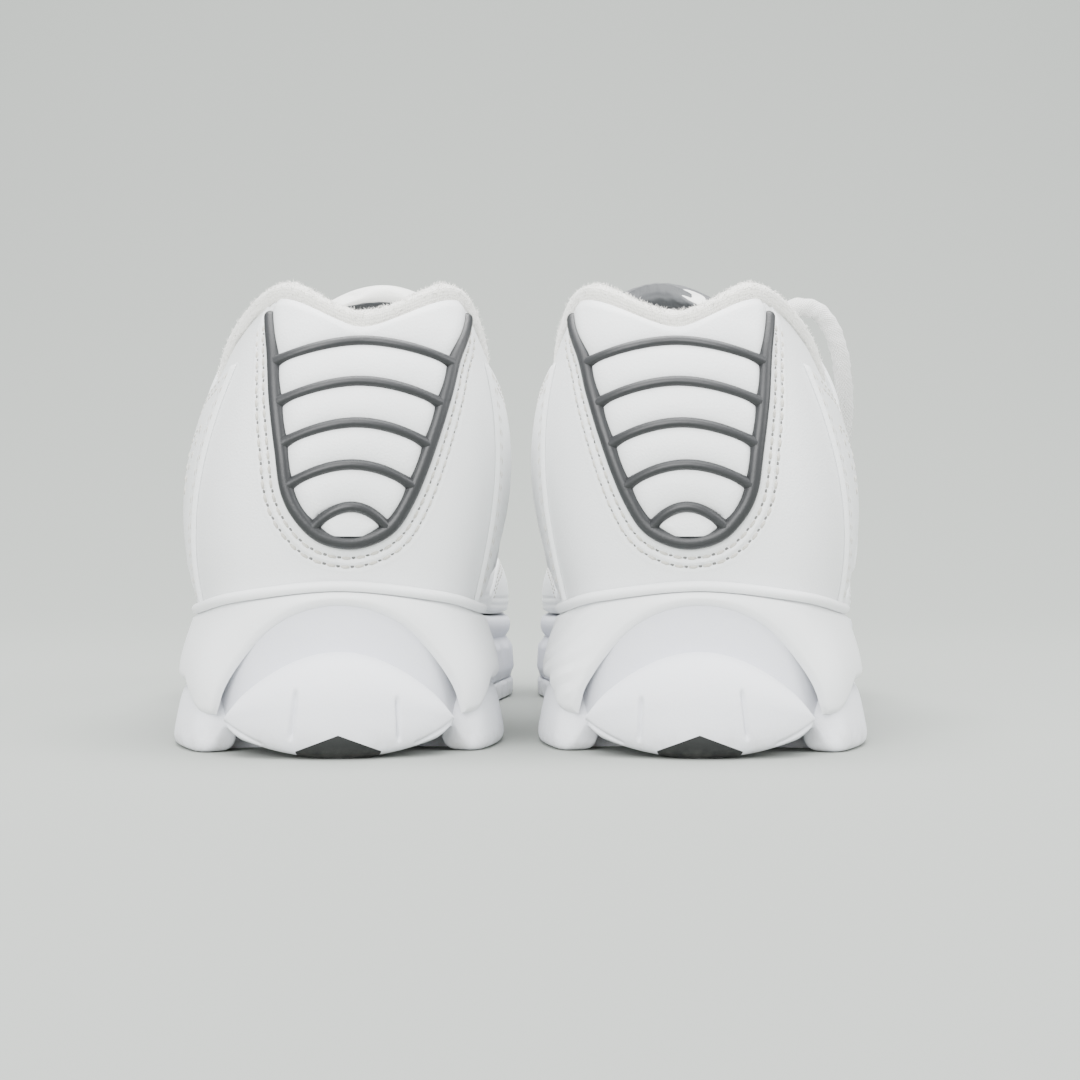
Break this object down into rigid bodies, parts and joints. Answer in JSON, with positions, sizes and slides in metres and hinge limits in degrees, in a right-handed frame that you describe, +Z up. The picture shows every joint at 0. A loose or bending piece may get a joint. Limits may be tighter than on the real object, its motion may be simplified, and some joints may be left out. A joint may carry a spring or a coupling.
{
  "type": "cheer shoes",
  "caption": "Pair of white leather cheer shoes: cushioned low trainers with a ribbed rubber heel clip, terry collar and laced tongue.",
  "frame": {"origin": "middle of the pair's box at ground level", "axes": "+Y towards the toes, +X towards the right shoe, +Z up"},
  "size_m": [0.1916, 0.265, 0.109],
  "materials": {
    "white_rubber": "satin",
    "dark_rubber": "satin",
    "midsole_foam": "matt",
    "moulded_white": "satin",
    "insole_board": "matt",
    "sockliner": "matt",
    "lining": "matt",
    "white_leather": "satin",
    "grey_clip": "satin",
    "terry": "matt",
    "eyelet": "satin",
    "lace": "matt",
    "clear_tip": "clear"
  },
  "bodies": {
    "left_shoe": {"left_outsole_heel": "white_rubber", "left_outsole_inlay": "dark_rubber", "left_midsole_rear": "midsole_foam", "left_heel_cradle": "moulded_white", "left_shank": "moulded_white", "left_insole_board": "insole_board", "left_sockliner": "sockliner", "left_heel_counter": "insole_board", "left_lining": "lining", "left_heel_quarter": "white_leather", "left_quarter_lateral": "white_leather", "left_quarter_medial": "white_leather", "left_eyestay": "white_leather", "left_vamp_crease": "white_leather", "left_heel_pad": "white_leather", "left_heel_clip": "grey_clip", "left_collar": "terry", "left_tongue_base": "white_leather", "left_eyelets": "eyelet", "left_lace": "lace", "left_lace_knot": "lace", "left_lace_bow_lateral": "lace", "left_lace_bow_medial": "lace", "left_aglets": "clear_tip"},
    "left_forefoot": {"left_outsole_fore": "white_rubber", "left_midsole_fore": "midsole_foam", "left_toe_lining": "lining", "left_vamp_front": "white_leather", "left_toe_cap": "white_leather"},
    "left_tongue": {"left_tongue_top": "white_leather"},
    "right_shoe": {"right_outsole_heel": "white_rubber", "right_outsole_inlay": "dark_rubber", "right_midsole_rear": "midsole_foam", "right_heel_cradle": "moulded_white", "right_shank": "moulded_white", "right_insole_board": "insole_board", "right_sockliner": "sockliner", "right_heel_counter": "insole_board", "right_lining": "lining", "right_heel_quarter": "white_leather", "right_quarter_lateral": "white_leather", "right_quarter_medial": "white_leather", "right_eyestay": "white_leather", "right_vamp_crease": "white_leather", "right_heel_pad": "white_leather", "right_heel_clip": "grey_clip", "right_collar": "terry", "right_tongue_base": "white_leather", "right_eyelets": "eyelet", "right_lace": "lace", "right_lace_knot": "lace", "right_lace_bow_lateral": "lace", "right_lace_bow_medial": "lace", "right_aglets": "clear_tip"},
    "right_forefoot": {"right_outsole_fore": "white_rubber", "right_midsole_fore": "midsole_foam", "right_toe_lining": "lining", "right_vamp_front": "white_leather", "right_toe_cap": "white_leather"},
    "right_tongue": {"right_tongue_top": "white_leather"}
  },
  "joints": [
    {"name": "right_shoe_apart", "type": "slide", "parent": "left_shoe", "child": "right_shoe", "axis": [1, 0, 0], "range_m": [0, 0.15]},
    {"name": "left_sole_flex", "type": "hinge", "parent": "left_shoe", "child": "left_forefoot", "pos_m": [-0.05164, 0.0621, 0.025], "axis": [0.9974, 0.0715, 0], "range_deg": [0, 25], "stiffness_Nm_per_rad": 1.5, "deforming": ["left_vamp_crease", "left_sockliner"]},
    {"name": "left_tongue_flex", "type": "hinge", "parent": "left_shoe", "child": "left_tongue", "pos_m": [-0.04374, -0.03872, 0.09225], "axis": [0.9974, 0.0715, 0], "range_deg": [-12, 12], "stiffness_Nm_per_rad": 0.05},
    {"name": "right_sole_flex", "type": "hinge", "parent": "right_shoe", "child": "right_forefoot", "pos_m": [0.05164, 0.0621, 0.025], "axis": [0.9974, -0.0715, 0], "range_deg": [0, 25], "stiffness_Nm_per_rad": 1.5, "deforming": ["right_vamp_crease", "right_sockliner"]},
    {"name": "right_tongue_flex", "type": "hinge", "parent": "right_shoe", "child": "right_tongue", "pos_m": [0.04374, -0.03872, 0.09225], "axis": [0.9974, -0.0715, 0], "range_deg": [-12, 12], "stiffness_Nm_per_rad": 0.05}
  ]
}
